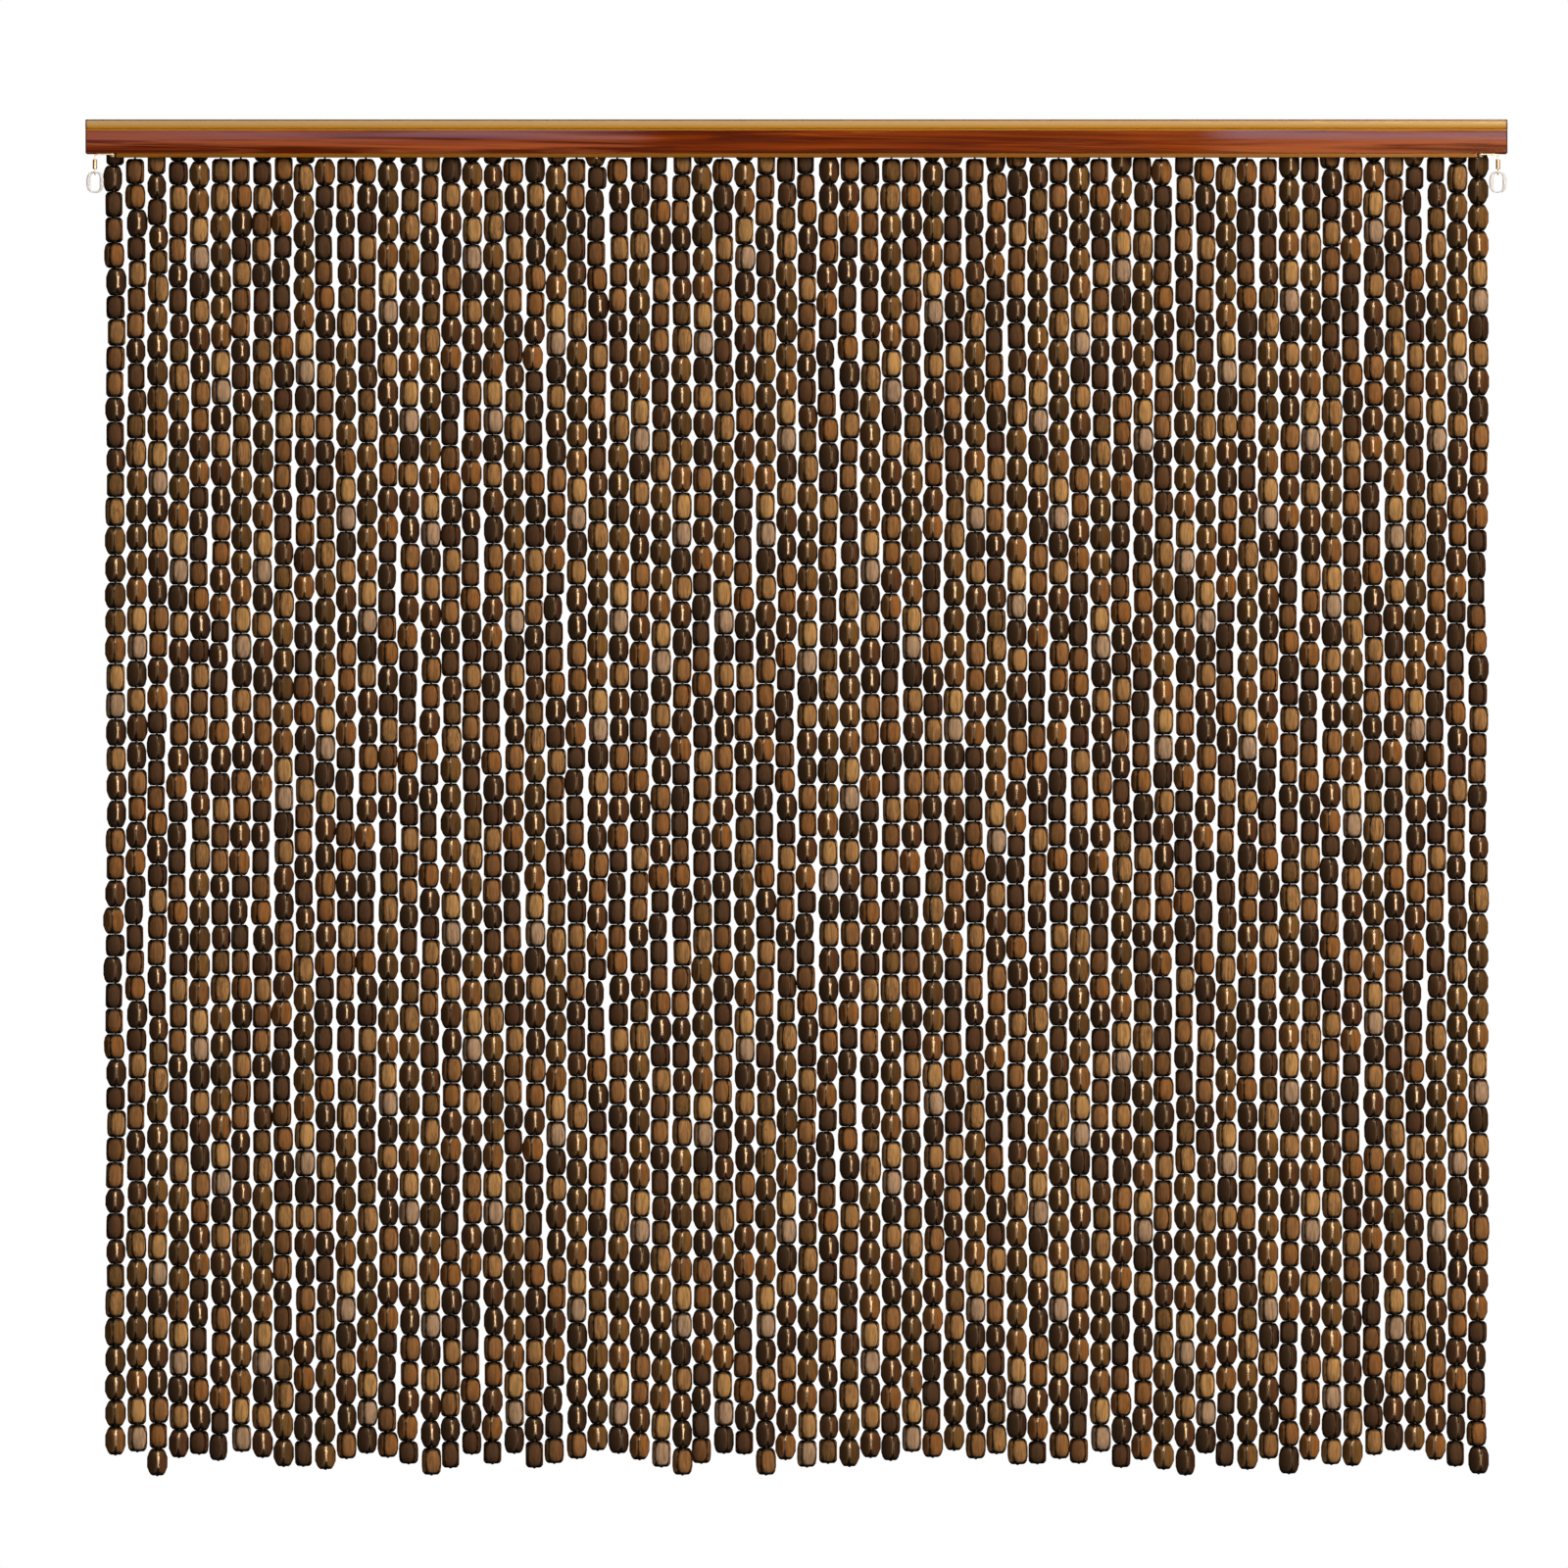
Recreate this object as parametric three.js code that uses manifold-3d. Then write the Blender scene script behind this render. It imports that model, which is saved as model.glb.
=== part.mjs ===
// A bead curtain with its head rail. Sixty-six strands of wooden barrel beads hang from a
// strip that sits in a groove routed up into the rail. A thin batten hides the mouth of the
// groove, and a wire hanger at each end of the rail carries a clear ring.
// Millimetres: +X along the rail, the front faces -Y, +Z up. The origin is the middle of
// the rail's flat back face.

import * as THREE from "three";
import { mergeVertices } from "three/addons/utils/BufferGeometryUtils.js";
import Module from "manifold-3d";

const wasm = await Module();
wasm.setup();

const gap = 0.3; // running clearance between neighbouring pieces

// Head rail: its section is given by the depth forward of the back face and the height
const railLength = 900;
const railHeight = 21.4;
const backWall = 2.4;
const grooveWidth = 13.4;
const frontWall = 3.4;
const grooveLength = 884;
const grooveDepth = 17.2;
const mouldingTop = 9.7;
const mouldingBottom = 4.5;
const mouldingBulge = 1.2;
const topChamfer = 0.5;

const railTop = railHeight / 2;
const railBottom = -railHeight / 2;
const faceDepth = backWall + grooveWidth + frontWall;
const strandDepth = backWall + grooveWidth / 2;
const frontWallDepth = faceDepth - frontWall / 2;

// Lip batten under the front wall
const lipLength = 861.5;
const lipHeight = 2.4;
const lipTop = railBottom - gap;
const lipBottom = lipTop - lipHeight;

// Strands
const strandPitch = 13.275;
const hemLine = -848.4; // a bead that would reach below this is left off
const stripHeight = 4;
const beadsPerRing = 4; // a strand's section changes once in this many beads
const fullness = 0.85; // mean width of a string of barrel beads, as a part of their widest
const endTaper = 0.6;
const endTaperLength = 5;

// The run of thirty beads that every strand repeats: length along the string, greatest
// width, and how far the bead sits to the right of the string's own line
const beadRun = [
  { length: 16.7, width: 11.2, shift: -1.4 },
  { length: 16.1, width: 9.9, shift: -0.7 },
  { length: 16.1, width: 10.5, shift: -0.8 },
  { length: 16.1, width: 12.4, shift: -0.2 },
  { length: 17.4, width: 12.7, shift: 0.7 },
  { length: 14.9, width: 11.2, shift: 0.5 },
  { length: 17.1, width: 10.9, shift: 0.8 },
  { length: 15.8, width: 10.4, shift: 0.4 },
  { length: 16.7, width: 10.2, shift: -0.2 },
  { length: 15.5, width: 11.1, shift: -0.1 },
  { length: 16.7, width: 9.9, shift: 0.2 },
  { length: 15.5, width: 11.0, shift: 0.7 },
  { length: 15.5, width: 12.4, shift: 0.9 },
  { length: 18.6, width: 12.8, shift: 0.9 },
  { length: 18.0, width: 12.7, shift: 0.4 },
  { length: 17.4, width: 12.7, shift: 0.4 },
  { length: 16.7, width: 13.2, shift: 0.2 },
  { length: 16.7, width: 12.8, shift: 0.5 },
  { length: 18.0, width: 13.0, shift: 0.2 },
  { length: 18.0, width: 12.2, shift: 0.4 },
  { length: 17.1, width: 12.0, shift: 0.9 },
  { length: 17.1, width: 12.0, shift: 0.7 },
  { length: 16.7, width: 12.1, shift: 0.9 },
  { length: 17.7, width: 12.4, shift: 1.2 },
  { length: 17.4, width: 11.1, shift: 0.9 },
  { length: 17.1, width: 11.5, shift: 1.6 },
  { length: 16.1, width: 10.6, shift: 0.7 },
  { length: 17.1, width: 12.2, shift: 0.6 },
  { length: 17.1, width: 12.4, shift: -0.6 },
  { length: 14.3, width: 10.5, shift: 0.0 },
];
const beadLetters = "abcdefghijklmnopqrstuvwxyzABCD";

// Stringing chart, left to right: the bead of the run that stands first below the lip, and
// the tenths of that bead that are tucked up behind it
const stringing = [
  "D7 c0 i4 e9 q9 m0 c0 e9 A1 m8 C0",
  "h0 d0 o9 k8 g4 v1 q9 k8 d0 v1 n8",
  "h0 C7 d0 k1 b4 g4 n8 d0 q9 g4 k1",
  "b4 x1 A1 e9 m0 c0 o9 C7 h0 y5 d6",
  "k8 h0 n8 c0 q4 k1 C0 f3 d0 m8 C0",
  "h0 p3 k1 d6 z1 r9 g3 C7 k1 m8 p3",
].join(" ").split(" ");

// Hangers, one for each end: a tack, the wire that it holds, a sleeve on it and a ring
const tackX = 433;
const tackShank = 1;
const tackHead = 3;
const tackHeadHeight = 1.2;
const tackHeadRound = 0.4; // part of the head's height that is domed
const tackDepth = 8;
const wireDiameter = 0.8;
const eyeRadius = 1.25;
const dropX = 444;
const bendRadius = 1.2;
const hookRadius = 1.3;
const loopTurn = 275; // degrees that an eye or a hook is wound, short of a full ring
const wireSides = 8;
const wireSteps = 52;
const sleeveDiameter = 2.8;
const sleeveTop = -14.6;
const ringWidth = 11.1;
const ringHeight = 13.6;
const ringTop = -22.2;
const ringThin = 0.6; // half thickness of the ring's top bar
const ringThick = 1.35; // half thickness of its two sides
const ringSquareness = 2.9;

const wireZ = railBottom - gap - wireDiameter / 2;
const wireY = -frontWallDepth - eyeRadius;
const hookZ = ringTop - ringThin;

function material(color, roughness, metalness = 0) {
  return new THREE.MeshStandardMaterial({ color, roughness, metalness });
}

const railWood = material(0x8a4a26, 0.35);
const lipWood = material(0x8a6424, 0.4);
const beadWood = material(0x5c3a20, 0.3);
const wireBrass = material(0xc9b38c, 0.35, 1);
const sleeveCopper = material(0x9c7a5a, 0.4, 1);
const clearPlastic = material(0xe8e4e0, 0.15);

function positionsOnly(geometry) {
  geometry.deleteAttribute("normal");
  geometry.deleteAttribute("uv");
  return mergeVertices(geometry, 1e-5);
}

function solidOf(geometry) {
  const merged = positionsOnly(geometry);
  const vertProperties = new Float32Array(merged.attributes.position.array);
  const triVerts = new Uint32Array(merged.index.array);
  return new wasm.Manifold(new wasm.Mesh({ numProp: 3, vertProperties, triVerts }));
}

function geometryOf(solid) {
  const mesh = solid.getMesh();
  const geometry = new THREE.BufferGeometry();
  geometry.setAttribute("position", new THREE.BufferAttribute(mesh.vertProperties, 3));
  geometry.setIndex(new THREE.BufferAttribute(mesh.triVerts, 1));
  return geometry;
}

function namedMesh(name, geometry, meshMaterial) {
  const mesh = new THREE.Mesh(geometry, meshMaterial);
  mesh.name = name;
  return mesh;
}

// Moves each vertex of a geometry by a function of its old place
function reshape(geometry, place) {
  const position = geometry.attributes.position;
  const point = new THREE.Vector3();
  for (let i = 0; i < position.count; i += 1) {
    point.fromBufferAttribute(position, i);
    place(point);
    position.setXYZ(i, point.x, point.y, point.z);
  }
  return geometry;
}

// Section of the rail: flat back, chamfered top edge, half-round moulding, flat face
function railSection() {
  const mouldingMiddle = (mouldingTop + mouldingBottom) / 2;
  const mouldingHalf = (mouldingTop - mouldingBottom) / 2;
  const section = new THREE.Shape();
  section.moveTo(0, railBottom);
  section.lineTo(faceDepth, railBottom);
  section.lineTo(faceDepth, mouldingBottom);
  section.absellipse(faceDepth, mouldingMiddle, mouldingBulge, mouldingHalf,
    -Math.PI / 2, Math.PI / 2, false, 0);
  section.lineTo(faceDepth, railTop - topChamfer);
  section.lineTo(faceDepth - topChamfer, railTop);
  section.lineTo(0, railTop);
  section.closePath();
  return section;
}

// Extrudes a section of (depth, height) along the rail, centred on x = 0
function alongRail(section, length) {
  const geometry = new THREE.ExtrudeGeometry(section, {
    depth: length, bevelEnabled: false, curveSegments: 5,
  });
  geometry.translate(0, 0, -length / 2);
  const toRail = new THREE.Matrix4().makeBasis(
    new THREE.Vector3(0, -1, 0),
    new THREE.Vector3(0, 0, 1),
    new THREE.Vector3(-1, 0, 0),
  );
  return geometry.applyMatrix4(toRail);
}

function makeRail() {
  let rail = solidOf(alongRail(railSection(), railLength));
  const groove = new THREE.BoxGeometry(grooveLength, grooveWidth, grooveDepth * 2);
  groove.translate(0, -strandDepth, railBottom);
  rail = rail.subtract(solidOf(groove));
  for (const side of [-1, 1]) {
    const hole = new THREE.CylinderGeometry(
      tackShank / 2 + gap, tackShank / 2 + gap, (tackDepth + gap) * 2, 12);
    hole.rotateX(Math.PI / 2);
    hole.translate(side * tackX, -frontWallDepth, railBottom);
    rail = rail.subtract(solidOf(hole));
  }
  return namedMesh("rail", geometryOf(rail), railWood);
}

function makeLipBatten() {
  const batten = new THREE.BoxGeometry(lipLength, frontWall, lipHeight);
  batten.translate(0, -frontWallDepth, (lipTop + lipBottom) / 2);
  return namedMesh("lip_batten", batten, lipWood);
}

// The beads that hang on one strand: the first is partly tucked behind the lip, and the
// last is the last whole one above the hem line
function beadsOfStrand(chartEntry) {
  const first = beadLetters.indexOf(chartEntry[0]);
  const tucked = Number(chartEntry[1]) / 10;
  const beads = [];
  let top = lipBottom + tucked * beadRun[first].length;
  for (let k = first; top - beadRun[k % beadRun.length].length >= hemLine; k += 1) {
    const bead = beadRun[k % beadRun.length];
    beads.push({ top, bottom: top - bead.length, width: bead.width, shift: bead.shift });
    top -= bead.length;
  }
  return beads;
}

function mean(beads, key) {
  return beads.reduce((sum, bead) => sum + bead[key], 0) / beads.length;
}

// Stations down a strand: height, half width and sideways shift, worked out from the mean
// of the beads about each one
function stationsOfStrand(beads, rootZ) {
  const stations = [];
  for (let first = 0; first < beads.length; first += beadsPerRing) {
    const group = beads.slice(first, first + beadsPerRing);
    const half = (mean(group, "width") / 2) * fullness;
    const shift = mean(group, "shift") * fullness;
    stations.push({ z: (group[0].top + group.at(-1).bottom) / 2, half, shift });
  }
  const bottom = beads.at(-1).bottom;
  const { half, shift } = stations.pop();
  stations.unshift({ ...stations[0], z: rootZ });
  stations.push({ z: bottom + endTaperLength, half, shift });
  stations.push({ z: bottom, half: half * endTaper, shift });
  return stations;
}

// A strand is a four-sided bar whose width and line follow its stations
function makeStrand(x, stations) {
  const last = stations.length - 1;
  const bar = new THREE.BoxGeometry(2, 2, last, 1, 1, last);
  return reshape(bar, (point) => {
    const { z, half, shift } = stations[Math.round(last / 2 - point.z)];
    point.set(x + shift + point.x * half, point.y * half - strandDepth, z);
  });
}

function makeStrands() {
  const stripTop = railBottom + grooveDepth - gap;
  const stripLength = strandPitch * stringing.length;
  const strip = new THREE.BoxGeometry(stripLength, grooveWidth - gap * 2, stripHeight);
  strip.translate(0, -strandDepth, stripTop - stripHeight / 2);
  const rootZ = stripTop - stripHeight / 2;
  const solids = stringing.map((chartEntry, i) => {
    const x = (i - (stringing.length - 1) / 2) * strandPitch;
    return solidOf(makeStrand(x, stationsOfStrand(beadsOfStrand(chartEntry), rootZ)));
  });
  const fused = wasm.Manifold.union([solidOf(strip), ...solids]);
  return namedMesh("strands", geometryOf(fused), beadWood);
}

// Points round most of a circle: place(cosine, sine) gives each one
function loopPoints(place) {
  const steps = 12;
  return Array.from({ length: steps + 1 }, (unused, i) => {
    const turn = THREE.MathUtils.degToRad((loopTurn * i) / steps);
    return place(Math.cos(turn), Math.sin(turn));
  });
}

// The wire lies along the rail's underside from an eye round the tack, bends down at the
// rail's end, and hooks under the top bar of the ring
function wirePath(side) {
  const eye = loopPoints((cosine, sine) => new THREE.Vector3(
    side * (tackX - eyeRadius * sine), -frontWallDepth - eyeRadius * cosine, wireZ));
  const bend = Array.from({ length: 4 }, (unused, i) => {
    const turn = (Math.PI / 2) * (i / 3);
    return new THREE.Vector3(
      side * (dropX - bendRadius + bendRadius * Math.sin(turn)),
      wireY,
      wireZ - bendRadius + bendRadius * Math.cos(turn));
  });
  const hook = loopPoints((cosine, sine) => new THREE.Vector3(
    side * dropX, wireY + hookRadius - hookRadius * cosine, hookZ - hookRadius * sine));
  const along = new THREE.Vector3(side * (tackX + dropX) / 2, wireY, wireZ);
  const down = new THREE.Vector3(side * dropX, wireY, (wireZ + hookZ) / 2);
  return new THREE.CatmullRomCurve3([...eye.reverse(), along, ...bend, down, ...hook]);
}

function makeHangerWire(side) {
  const section = new THREE.Shape();
  section.absarc(0, 0, wireDiameter / 2, 0, Math.PI * 2);
  return new THREE.ExtrudeGeometry(section, {
    steps: wireSteps, curveSegments: wireSides / 2, extrudePath: wirePath(side),
  });
}

function makeTack(side) {
  const headTop = wireZ - wireDiameter / 2 - gap;
  const profile = [
    [0, railBottom + tackDepth],
    [tackShank / 2, railBottom + tackDepth - tackShank / 2],
    [tackShank / 2, headTop],
    [tackHead / 2, headTop],
    [tackHead * 0.4, headTop - tackHeadHeight * (1 - tackHeadRound)],
    [0, headTop - tackHeadHeight],
  ].map(([radius, z]) => new THREE.Vector2(radius, z)).reverse();
  const tack = new THREE.LatheGeometry(profile, 12);
  tack.rotateX(Math.PI / 2);
  return tack.translate(side * tackX, -frontWallDepth, 0);
}

function makeSleeve(side) {
  const bottom = hookZ + hookRadius + wireDiameter / 2 + gap;
  const bore = wireDiameter / 2 + gap;
  const profile = [
    [bore, bottom],
    [sleeveDiameter / 2 - gap, bottom],
    [sleeveDiameter / 2, bottom + gap],
    [sleeveDiameter / 2, sleeveTop - gap],
    [sleeveDiameter / 2 - gap, sleeveTop],
    [bore, sleeveTop],
    [bore, bottom],
  ].map(([radius, z]) => new THREE.Vector2(radius, z));
  const sleeve = new THREE.LatheGeometry(profile, 12);
  sleeve.rotateX(Math.PI / 2);
  return sleeve.translate(side * dropX, wireY, 0);
}

// A moulded ring: its centre line is a superellipse, its bar is thin at the top, where the
// hook holds it, and thick at the sides
function makeRing(side) {
  const around = 28;
  const across = 8;
  const ring = new THREE.TorusGeometry(2, 1, across, around);
  const centreZ = ringTop - ringHeight / 2;
  return reshape(ring, (point) => {
    const turn = Math.atan2(point.y, point.x);
    const outward = Math.hypot(point.x, point.y) - 2;
    const sideways = Math.cos(turn) ** 2;
    const half = THREE.MathUtils.lerp(ringThin, ringThick, sideways);
    const bend = (value) => Math.sign(value) * Math.abs(value) ** (2 / ringSquareness);
    const lineX = (ringWidth / 2 - ringThick) * bend(Math.cos(turn));
    const lineZ = (ringHeight / 2 - ringThin) * bend(Math.sin(turn));
    point.set(
      side * dropX + lineX + outward * half * Math.cos(turn),
      wireY + hookRadius - point.z * half,
      centreZ + lineZ + outward * half * Math.sin(turn));
  });
}

function makeHanger(side, sideName) {
  const hanger = new THREE.Group();
  hanger.add(namedMesh(`${sideName}_hanger_wire`, makeHangerWire(side), wireBrass));
  hanger.add(namedMesh(`${sideName}_tack`, makeTack(side), wireBrass));
  hanger.add(namedMesh(`${sideName}_sleeve`, makeSleeve(side), sleeveCopper));
  hanger.add(namedMesh(`${sideName}_ring`, makeRing(side), clearPlastic));
  return hanger;
}

const beadCurtain = new THREE.Group();
beadCurtain.add(makeRail());
beadCurtain.add(makeLipBatten());
beadCurtain.add(makeStrands());
beadCurtain.add(makeHanger(-1, "left"));
beadCurtain.add(makeHanger(1, "right"));

export default beadCurtain;
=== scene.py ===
import bmesh
import bpy
import mathutils
import numpy as np
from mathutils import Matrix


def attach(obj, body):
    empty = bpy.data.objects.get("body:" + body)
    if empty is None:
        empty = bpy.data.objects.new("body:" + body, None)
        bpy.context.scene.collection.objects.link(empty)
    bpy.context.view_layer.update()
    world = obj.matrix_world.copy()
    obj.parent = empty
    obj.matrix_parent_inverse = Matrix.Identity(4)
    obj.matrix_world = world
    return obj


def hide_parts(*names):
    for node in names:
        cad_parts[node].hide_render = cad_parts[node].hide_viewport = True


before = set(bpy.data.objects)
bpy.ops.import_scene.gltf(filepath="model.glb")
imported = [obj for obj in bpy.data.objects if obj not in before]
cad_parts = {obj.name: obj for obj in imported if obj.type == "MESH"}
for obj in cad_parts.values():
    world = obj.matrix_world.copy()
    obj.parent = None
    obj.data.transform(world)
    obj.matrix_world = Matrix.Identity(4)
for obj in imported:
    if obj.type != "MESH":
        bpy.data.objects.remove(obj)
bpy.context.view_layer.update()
mm = 0.001
print("frame loaded:", len(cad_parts), "nodes")


def linear(code):
    # hex colour to linear light: ((c + 0.055) / 1.055) to the power 2.4 for each channel
    channels = np.array([int(code[i:i + 2], 16) for i in (0, 2, 4)]) / 255
    return (*(((channels + 0.055) / 1.055) ** 2.4).tolist(), 1.0)


def gridFaces(rows, columns):
    # quads of a grid that closes round its columns; corner (r, c) joins (r, c + 1),
    # (r + 1, c + 1) and (r + 1, c), so columns run anticlockwise seen from the last row
    r, c = np.meshgrid(np.arange(rows - 1), np.arange(columns), indexing="ij")
    after = (c + 1) % columns
    quads = [r * columns + c, r * columns + after, (r + 1) * columns + after,
             (r + 1) * columns + c]
    return np.stack(quads, axis=-1).reshape(-1, 4)


def cappedFaces(rows, columns, copies=1):
    # the grid's quads and an n-gon over each open end, once for every copy
    start = np.arange(copies)[:, None] * rows * columns
    ring = np.arange(columns)[None]
    quads = gridFaces(rows, columns)[None] + start[:, :, None]
    faces = quads.reshape(-1, 4).tolist()
    faces += (start + ring[:, ::-1]).tolist()
    faces += (start + (rows - 1) * columns + ring).tolist()
    return faces


def loopFaces(rows, columns):
    # quads of a grid that closes both ways: the last row joins the first
    return (gridFaces(rows + 1, columns) % (rows * columns)).tolist()


def makePiece(name, points, faces, material, replaced, creaseAngle=35):
    # puts points, in mm, and faces into a piece; points that meet are merged
    mesh = bpy.data.meshes.new(name)
    mesh.from_pydata((np.asarray(points).reshape(-1, 3) * mm).tolist(), [], faces)
    if creaseAngle:
        welded = bmesh.new()
        welded.from_mesh(mesh)
        bmesh.ops.remove_doubles(welded, verts=welded.verts, dist=1e-7)
        welded.to_mesh(mesh)
        welded.free()
    mesh.materials.append(material)
    mesh.polygons.foreach_set("use_smooth", np.ones(len(mesh.polygons), dtype=bool))
    if creaseAngle:
        mesh.set_sharp_from_angle(angle=np.radians(creaseAngle))
    piece = bpy.data.objects.new(name, mesh)
    bpy.context.scene.collection.objects.link(piece)
    if creaseAngle:
        evenShading = piece.modifiers.new("evenShading", "WEIGHTED_NORMAL")
        evenShading.keep_sharp = True      # large faces stay flat beside their rounded edges
    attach(piece, "root")
    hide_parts(replaced)
    return piece


def setAttribute(mesh, name, values):
    # one row of values for each vertex: a single column is a number, three are a vector and
    # four a colour
    width = 1 if values.ndim == 1 else values.shape[1]
    kind, field = {1: ("FLOAT", "value"), 3: ("FLOAT_VECTOR", "vector"),
                   4: ("FLOAT_COLOR", "color")}[width]
    attribute = mesh.attributes.new(name, kind, "POINT")
    attribute.data.foreach_set(field, values.astype(np.float32).ravel())


class Finish:
    # a material under construction: each call adds one node and gives its output
    def __init__(self, name):
        self.material = bpy.data.materials.new(name)
        self.material.use_nodes = True
        self.tree = self.material.node_tree
        self.shader = self.tree.nodes["Principled BSDF"]

    def plug(self, socket, value):
        if isinstance(value, bpy.types.NodeSocket):
            self.tree.links.new(value, socket)
        else:
            socket.default_value = value

    def add(self, kind, inputs, output=0, **settings):
        node = self.tree.nodes.new("ShaderNode" + kind)
        for key, value in settings.items():
            setattr(node, key, value)
        for key, value in inputs.items():
            self.plug(node.inputs[key], value)
        return node.outputs[output]

    def math(self, operation, a, b=0.0):
        return self.add("Math", {0: a, 1: b}, operation=operation)

    def ramp(self, value, low, high, start=0.0, end=1.0):
        return self.add("MapRange", {"Value": value, "From Min": low, "From Max": high,
                                     "To Min": start, "To Max": end},
                        interpolation_type="SMOOTHSTEP")

    def mix(self, factor, a, b):
        return self.add("Mix", {0: factor, 6: a, 7: b}, output=2, data_type="RGBA")

    def noise(self, vector, scale, detail=3.0, roughness=0.5, distortion=0.0):
        return self.add("TexNoise", {"Vector": vector, "Scale": scale, "Detail": detail,
                                     "Roughness": roughness, "Distortion": distortion})

    def stretch(self, vector, scale, move=(0, 0, 0)):
        return self.add("Mapping", {"Vector": vector, "Scale": scale, "Location": move})

    def attribute(self, name, output="Vector"):
        return self.add("Attribute", {}, output, attribute_name=name)

    def place(self):
        return self.add("TexCoord", {}, "Object")

    def parts(self, vector):
        node = self.tree.nodes.new("ShaderNodeSeparateXYZ")
        self.tree.links.new(vector, node.inputs[0])
        return node.outputs[0], node.outputs[1], node.outputs[2]

    def scaled(self, parts, scales):
        return self.add("CombineXYZ", {i: self.math("MULTIPLY", part, scale)
                                       for i, (part, scale) in enumerate(zip(parts, scales))})

    def bump(self, height, strength, distance):
        return self.add("Bump", {"Height": height, "Strength": strength,
                                 "Distance": distance})

    def done(self, **sockets):
        for key, value in sockets.items():
            self.plug(self.shader.inputs[key.replace("_", " ")], value)
        return self.material


# the run of beads that every strand repeats: length along the string, greatest width and
# sideways shift in mm, turn in degrees of its nearest flat to the right, wood, and how
# strongly the wood is figured
beadRun = [
    dict(length=16.7, width=11.9, shift=-1.7, turn=-28, wood="ember", figure=0.0),
    dict(length=16.1, width=11.1, shift=-0.9, turn=5, wood="cocoa", figure=0.1),
    dict(length=16.1, width=11.4, shift=-0.8, turn=-3, wood="chestnut", figure=0.2),
    dict(length=16.1, width=13.2, shift=-0.7, turn=22, wood="amber", figure=0.1),
    dict(length=17.4, width=13.1, shift=0.6, turn=-35, wood="ember", figure=0.1),
    dict(length=14.9, width=12.0, shift=0.1, turn=-8, wood="mahogany", figure=0.3),
    dict(length=17.1, width=12.0, shift=0.8, turn=5, wood="tan", figure=0.4),
    dict(length=15.8, width=11.3, shift=0.1, turn=-2, wood="chestnut", figure=0.2),
    dict(length=16.7, width=11.1, shift=-0.4, turn=0, wood="bran", figure=0.2),
    dict(length=15.5, width=12.2, shift=-0.3, turn=-33, wood="ember", figure=0.0),
    dict(length=16.7, width=11.2, shift=-0.1, turn=-3, wood="russet", figure=0.2),
    dict(length=15.5, width=12.0, shift=0.8, turn=-30, wood="russet", figure=0.1),
    dict(length=15.5, width=13.3, shift=0.9, turn=0, wood="olive", figure=0.9),
    dict(length=18.6, width=13.3, shift=0.7, turn=20, wood="tan", figure=1.0),
    dict(length=18.0, width=13.3, shift=0.0, turn=45, wood="olive", figure=0.4),
    dict(length=17.4, width=13.3, shift=0.1, turn=-40, wood="moss", figure=0.2),
    dict(length=16.7, width=13.3, shift=0.1, turn=42, wood="moss", figure=0.2),
    dict(length=16.7, width=13.3, shift=0.3, turn=45, wood="olive", figure=0.1),
    dict(length=18.0, width=13.3, shift=0.0, turn=-44, wood="umber", figure=0.3),
    dict(length=18.0, width=13.3, shift=0.2, turn=12, wood="honey", figure=0.2),
    dict(length=17.1, width=12.9, shift=0.7, turn=14, wood="oat", figure=0.3),
    dict(length=17.1, width=12.9, shift=0.5, turn=-27, wood="ember", figure=0.0),
    dict(length=16.7, width=13.0, shift=0.7, turn=14, wood="tan", figure=0.3),
    dict(length=17.7, width=13.2, shift=0.8, turn=-42, wood="russet", figure=0.2),
    dict(length=17.4, width=12.4, shift=0.7, turn=-33, wood="ember", figure=0.0),
    dict(length=17.1, width=12.6, shift=1.1, turn=15, wood="bran", figure=0.4),
    dict(length=16.1, width=11.7, shift=0.6, turn=2, wood="amber", figure=0.2),
    dict(length=17.1, width=13.3, shift=0.0, turn=-40, wood="russet", figure=0.1),
    dict(length=17.1, width=13.2, shift=-1.2, turn=40, wood="amber", figure=0.2),
    dict(length=14.3, width=11.5, shift=-0.1, turn=-3, wood="cocoa", figure=0.1),
]
beadLetters = "abcdefghijklmnopqrstuvwxyzABCD"

# stringing chart, left to right: the bead of the run that stands first below the lip, and
# the tenths of that bead that are tucked up behind it
stringing = [
    "D7 c0 i4 e9 q9 m0 c0 e9 A1 m8 C0",
    "h0 d0 o9 k8 g4 v1 q9 k8 d0 v1 n8",
    "h0 C7 d0 k1 b4 g4 n8 d0 q9 g4 k1",
    "b4 x1 A1 e9 m0 c0 o9 C7 h0 y5 d6",
    "k8 h0 n8 c0 q4 k1 C0 f3 d0 m8 C0",
    "h0 p3 k1 d6 z1 r9 g3 C7 k1 m8 p3",
]

strands = {
    "pitch": 13.275,
    "depth": 9.1,         # of the strings, forward of the rail's flat back
    "chartLine": -13.8,   # the height that the chart's tucked parts are counted from
    "hemLine": -849.0,    # a bead that would reach below this is left off
    "mostBeads": 70,      # more than any strand holds
    "sideGap": 0.06,      # between beads of neighbouring strands
    "compared": (0.02, 0.98, 15),   # parts of a shared height where widths are added up
    "rounds": 40,         # of moving close beads apart, and how much of the overlap each clears
    "roundShare": 0.3,
}

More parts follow.
